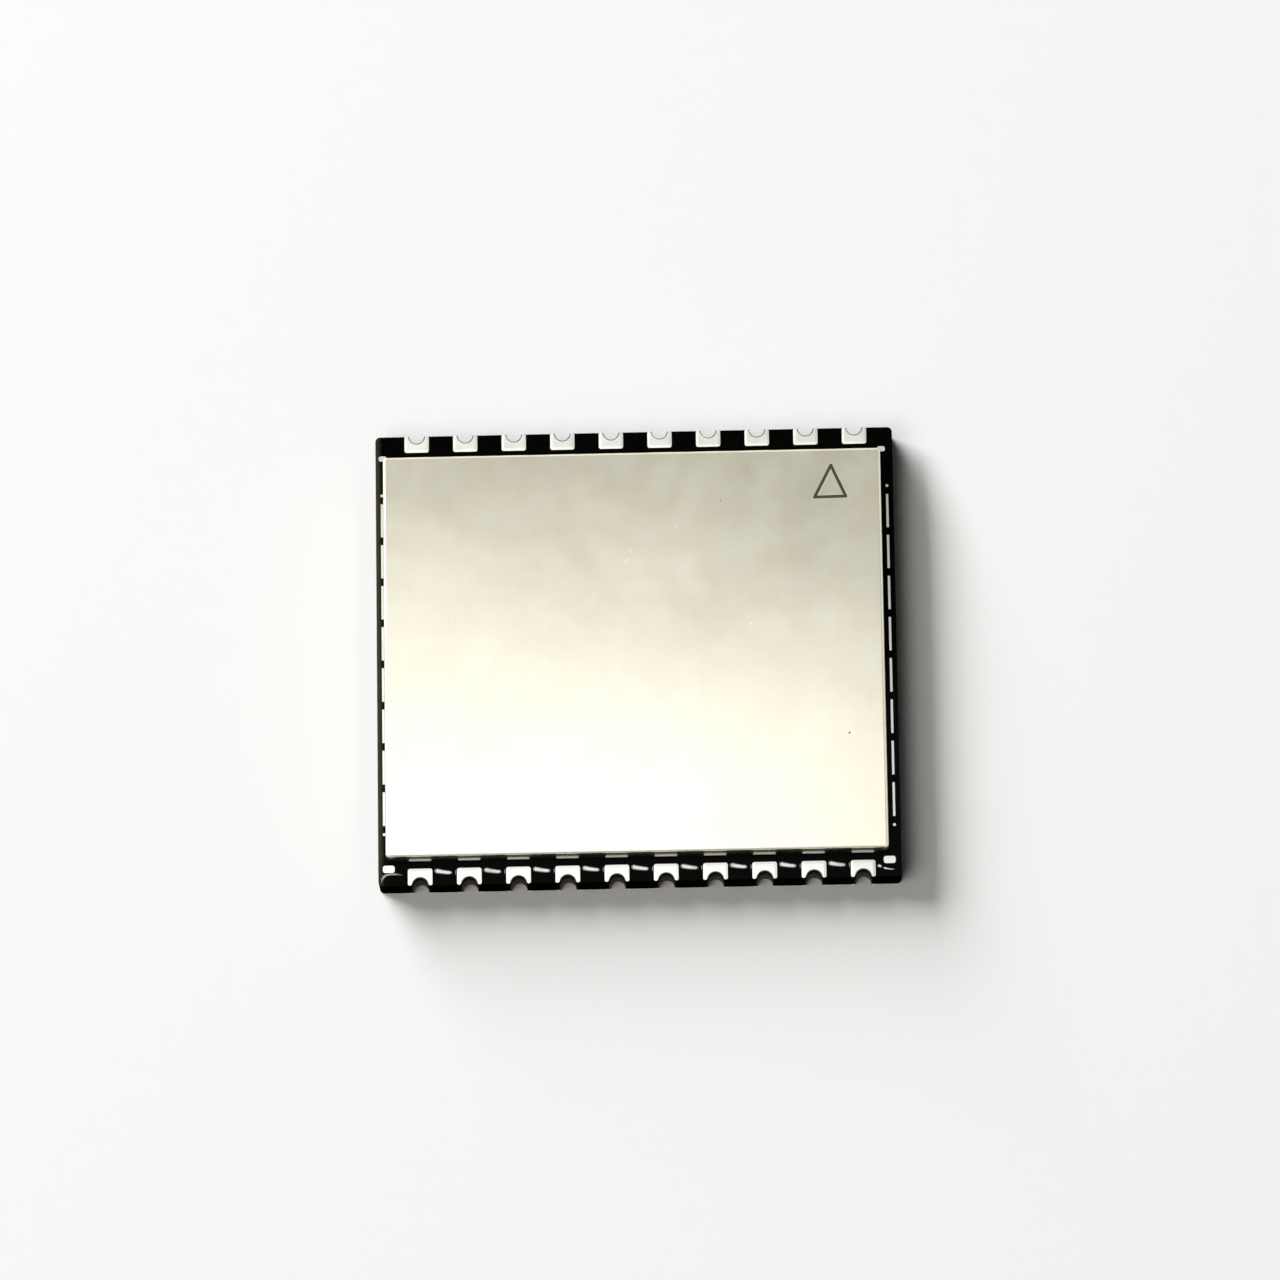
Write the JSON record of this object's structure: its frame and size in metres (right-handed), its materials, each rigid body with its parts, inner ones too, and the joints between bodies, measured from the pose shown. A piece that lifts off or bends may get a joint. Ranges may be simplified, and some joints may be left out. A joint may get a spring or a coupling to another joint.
{
  "type": "ads-b receiver module",
  "caption": "Small surface-mount radio receiver module: a black board with half-hole contacts on two edges under a low soldered metal can.",
  "frame": {"origin": "middle of the underside, on the face that is soldered to the host board", "axes": "+X along the contact rows, +Y from the front row towards the back row, +Z out of the can's top"},
  "size_m": [0.027, 0.0242, 0.0025],
  "materials": {
    "black_mask": "glossy black solder mask on glass-fibre board",
    "can_metal": "satin nickel-silver sheet",
    "tinned_copper": "bright tin over copper",
    "moulding_compound": "matt black moulding compound",
    "package_lid_metal": "plated package lid",
    "capacitor_ceramic": "brown ceramic",
    "inductor_ceramic": "pale ceramic",
    "resistor_black": "black glazed ceramic"
  },
  "bodies": {
    "root": {"capacitor_01": "capacitor_ceramic", "capacitor_02": "capacitor_ceramic", "capacitor_03": "capacitor_ceramic", "capacitor_04": "capacitor_ceramic", "capacitor_05": "capacitor_ceramic", "capacitor_06": "capacitor_ceramic", "capacitor_07": "capacitor_ceramic", "capacitor_08": "capacitor_ceramic", "circuit_board": "black_mask", "clock_oscillator": "package_lid_metal", "comparator": "moulding_compound", "contact_01": "tinned_copper", "contact_02": "tinned_copper", "contact_03": "tinned_copper", "contact_04": "tinned_copper", "contact_05": "tinned_copper", "contact_06": "tinned_copper", "contact_07": "tinned_copper", "contact_08": "tinned_copper", "contact_09": "tinned_copper", "contact_10": "tinned_copper", "contact_11": "tinned_copper", "contact_12": "tinned_copper", "contact_13": "tinned_copper", "contact_14": "tinned_copper", "contact_15": "tinned_copper", "contact_16": "tinned_copper", "contact_17": "tinned_copper", "contact_18": "tinned_copper", "contact_19": "tinned_copper", "contact_20": "tinned_copper", "corner_pad_1": "tinned_copper", "corner_pad_2": "tinned_copper", "corner_pad_3": "tinned_copper", "corner_pad_4": "tinned_copper", "digital_regulator": "moulding_compound", "flash_memory": "moulding_compound", "ground_strips_back": "tinned_copper", "ground_strips_front": "tinned_copper", "ground_strips_left": "tinned_copper", "ground_strips_right": "tinned_copper", "inductor_01": "inductor_ceramic", "inductor_02": "inductor_ceramic", "inductor_03": "inductor_ceramic", "input_amplifier": "moulding_compound", "input_filter": "package_lid_metal", "power_inductor": "moulding_compound", "processor": "moulding_compound", "radio_regulator": "moulding_compound", "receiver_chip": "moulding_compound", "resistor_01": "resistor_black", "resistor_02": "resistor_black", "resistor_03": "resistor_black", "resistor_04": "resistor_black", "second_amplifier": "moulding_compound", "second_filter": "package_lid_metal", "shield_can": "can_metal", "surge_diode": "moulding_compound"}
  },
  "joints": []
}
